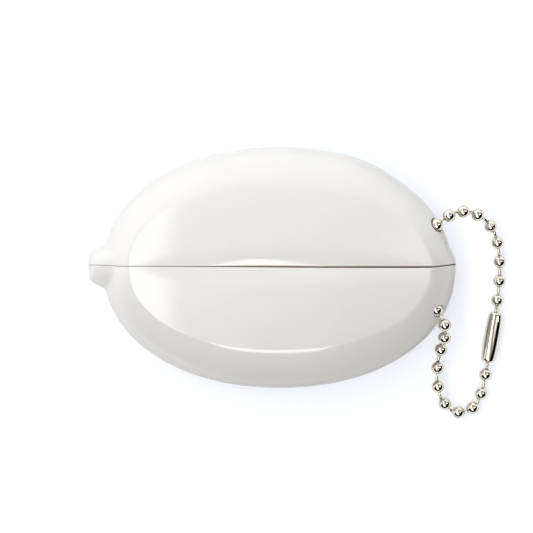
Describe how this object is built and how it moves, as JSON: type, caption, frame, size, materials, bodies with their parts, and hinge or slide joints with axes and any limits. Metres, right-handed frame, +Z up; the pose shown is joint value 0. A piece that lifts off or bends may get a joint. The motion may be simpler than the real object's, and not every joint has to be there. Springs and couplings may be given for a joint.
{
  "type": "squeeze coin pouch",
  "caption": "Oval squeeze coin pouch: a moulded shell whose lips part along a slit when its ends are pressed, with a ball chain loop threaded through its shoulder.",
  "frame": {"origin": "middle of the pouch's flat back", "axes": "+X along the slit towards the chain, +Y across the slit, +Z up out of the back through the lips"},
  "size_m": [0.1014, 0.0659, 0.02],
  "materials": {
    "vinyl": "glossy moulded vinyl, off-white",
    "nickel": "bright nickel plate on steel"
  },
  "bodies": {
    "shell": {"shell_back": "vinyl", "shell_side": "vinyl", "shoulder_upper": "vinyl", "shoulder_lower": "vinyl"},
    "upper_lip": {"lip_upper": "vinyl"},
    "lower_lip": {"lip_lower": "vinyl"},
    "link_1": {"bead_1": "nickel", "pin_1": "nickel"},
    "link_2": {"bead_2": "nickel", "pin_2": "nickel"},
    "link_3": {"bead_3": "nickel", "pin_3": "nickel"},
    "link_4": {"bead_4": "nickel", "pin_4": "nickel"},
    "link_5": {"bead_5": "nickel", "pin_5": "nickel"},
    "link_6": {"bead_6": "nickel", "pin_6": "nickel"},
    "link_7": {"bead_7": "nickel", "pin_7": "nickel"},
    "link_8": {"bead_8": "nickel", "pin_8": "nickel"},
    "link_9": {"bead_9": "nickel", "pin_9": "nickel"},
    "link_10": {"bead_10": "nickel"},
    "link_11": {"bead_11": "nickel", "pin_10": "nickel"},
    "link_12": {"bead_12": "nickel", "pin_11": "nickel", "pin_12": "nickel"},
    "link_13": {"bead_13": "nickel", "pin_13": "nickel"},
    "link_14": {"bead_14": "nickel", "pin_14": "nickel"},
    "link_15": {"bead_15": "nickel"},
    "link_16": {"bead_16": "nickel", "pin_15": "nickel"},
    "link_17": {"bead_17": "nickel", "pin_16": "nickel"},
    "link_18": {"bead_18": "nickel", "pin_17": "nickel"},
    "link_19": {"bead_19": "nickel", "pin_18": "nickel"},
    "link_20": {"bead_20": "nickel", "pin_19": "nickel"},
    "link_21": {"bead_21": "nickel", "pin_20": "nickel"},
    "link_22": {"bead_22": "nickel", "pin_21": "nickel"},
    "link_23": {"bead_23": "nickel", "pin_22": "nickel"},
    "link_24": {"bead_24": "nickel", "pin_23": "nickel"},
    "link_25": {"bead_25": "nickel", "pin_24": "nickel"},
    "connector": {"chain_connector": "nickel", "bead_26": "nickel", "pin_25": "nickel"}
  },
  "joints": [
    {"name": "upper_lip_open", "type": "slide", "parent": "shell", "child": "upper_lip", "axis": [0, 0.9848, 0.1736], "range_m": [0, 0.008], "stiffness_N_per_m": 700},
    {"name": "lower_lip_open", "type": "slide", "parent": "shell", "child": "lower_lip", "axis": [0, -0.9848, 0.1736], "range_m": [0, 0.008], "stiffness_N_per_m": 700},
    {"name": "upper_hole_slip", "type": "slide", "parent": "shell", "child": "link_10", "axis": [0.6769, 0.378, 0.6316], "range_m": [-0.0002, 0.0002]},
    {"name": "lower_hole_slip", "type": "slide", "parent": "shell", "child": "link_15", "axis": [0.6769, -0.378, 0.6316], "range_m": [0, 0.0003]},
    {"name": "bead_9_turn", "type": "hinge", "parent": "link_10", "child": "link_9", "pos_m": [0.03888, 0.01129, 0.01276], "axis": [0, 0, 1], "range_deg": [0, 10]},
    {"name": "bead_8_turn", "type": "hinge", "parent": "link_9", "child": "link_8", "pos_m": [0.04208, 0.01316, 0.01196], "axis": [0.2787, -0.9604, 0], "range_deg": [-8, 10]},
    {"name": "bead_7_turn", "type": "hinge", "parent": "link_8", "child": "link_7", "pos_m": [0.04558, 0.0136, 0.00947], "axis": [0, 0, -1], "range_deg": [-10, 0]},
    {"name": "bead_6_turn", "type": "hinge", "parent": "link_7", "child": "link_6", "pos_m": [0.04907, 0.01222, 0.00661], "axis": [0.6323, 0.7747, 0], "range_deg": [-8, 10]},
    {"name": "bead_5_turn", "type": "hinge", "parent": "link_6", "child": "link_5", "pos_m": [0.05204, 0.00898, 0.0047], "axis": [0, 0, 1], "range_deg": [-8, 8]},
    {"name": "bead_4_turn", "type": "hinge", "parent": "link_5", "child": "link_4", "pos_m": [0.05339, 0.0047, 0.00301], "axis": [-0.9981, -0.0622, 0], "range_deg": [-10, 8]},
    {"name": "bead_3_turn", "type": "hinge", "parent": "link_4", "child": "link_3", "pos_m": [0.05368, 0.00001, 0.00216], "axis": [0, 0, -1], "range_deg": [-8, 8]},
    {"name": "bead_2_turn", "type": "hinge", "parent": "link_3", "child": "link_2", "pos_m": [0.05352, -0.00472, 0.00171], "axis": [0.9904, -0.1384, 0], "range_deg": [-10, 8]},
    {"name": "bead_1_turn", "type": "hinge", "parent": "link_2", "child": "link_1", "pos_m": [0.05294, -0.00944, 0.00163], "axis": [0, 0, 1], "range_deg": [-12, 12]},
    {"name": "bead_11_turn", "type": "hinge", "parent": "link_10", "child": "link_11", "pos_m": [0.03682, 0.00924, 0.01253], "axis": [0, 0, 1], "range_deg": [-8, 6]},
    {"name": "bead_12_turn", "type": "hinge", "parent": "link_11", "child": "link_12", "pos_m": [0.03448, 0.00549, 0.01133], "axis": [0, 0, -1], "range_deg": [-10, 10]},
    {"name": "bead_14_turn", "type": "hinge", "parent": "link_15", "child": "link_14", "pos_m": [0.03701, -0.00902, 0.01252], "axis": [0, 0, -1], "range_deg": [-8, 6]},
    {"name": "bead_13_turn", "type": "hinge", "parent": "link_14", "child": "link_13", "pos_m": [0.03445, -0.00545, 0.01131], "axis": [0, 0, 1], "range_deg": [-10, 10]},
    {"name": "bead_16_turn", "type": "hinge", "parent": "link_15", "child": "link_16", "pos_m": [0.03859, -0.01146, 0.01267], "axis": [0, 0, 1], "range_deg": [-8, 0]},
    {"name": "bead_17_turn", "type": "hinge", "parent": "link_16", "child": "link_17", "pos_m": [0.04018, -0.01516, 0.01154], "axis": [-0.9634, 0.2681, 0], "range_deg": [-1, 10]},
    {"name": "bead_18_turn", "type": "hinge", "parent": "link_17", "child": "link_18", "pos_m": [0.03972, -0.01811, 0.00876], "axis": [0, 0, -1], "range_deg": [0, 10]},
    {"name": "bead_19_turn", "type": "hinge", "parent": "link_18", "child": "link_19", "pos_m": [0.03886, -0.02112, 0.00592], "axis": [-0.978, 0.2086, 0], "range_deg": [-6, 6]},
    {"name": "bead_20_turn", "type": "hinge", "parent": "link_19", "child": "link_20", "pos_m": [0.0383, -0.0257, 0.00467], "axis": [0, 0, -1], "range_deg": [0, 10]},
    {"name": "bead_21_turn", "type": "hinge", "parent": "link_20", "child": "link_21", "pos_m": [0.03882, -0.0303, 0.00367], "axis": [0.9604, 0.2785, 0], "range_deg": [-10, 10]},
    {"name": "bead_22_turn", "type": "hinge", "parent": "link_21", "child": "link_22", "pos_m": [0.04112, -0.03422, 0.00234], "axis": [0, 0, 1], "range_deg": [-10, 0]},
    {"name": "bead_23_turn", "type": "hinge", "parent": "link_22", "child": "link_23", "pos_m": [0.04503, -0.03542, 0.00137], "axis": [0.3623, -0.9321, 0], "range_deg": [-8, 3]},
    {"name": "bead_24_turn", "type": "hinge", "parent": "link_23", "child": "link_24", "pos_m": [0.04822, -0.03326, 0.0016], "axis": [0, 0, -1], "range_deg": [-3, 10]},
    {"name": "bead_25_turn", "type": "hinge", "parent": "link_24", "child": "link_25", "pos_m": [0.04967, -0.02934, 0.00164], "axis": [0, 0, 1], "range_deg": [-10, 10]},
    {"name": "connector_spin", "type": "hinge", "parent": "link_1", "child": "connector", "pos_m": [0.05252, -0.01269, 0.00205], "axis": [-0.1736, -0.9848, 0], "continuous": true}
  ],
  "couplings": [
    {"joint": "lower_lip_open", "follows": "upper_lip_open", "ratio": 1}
  ]
}
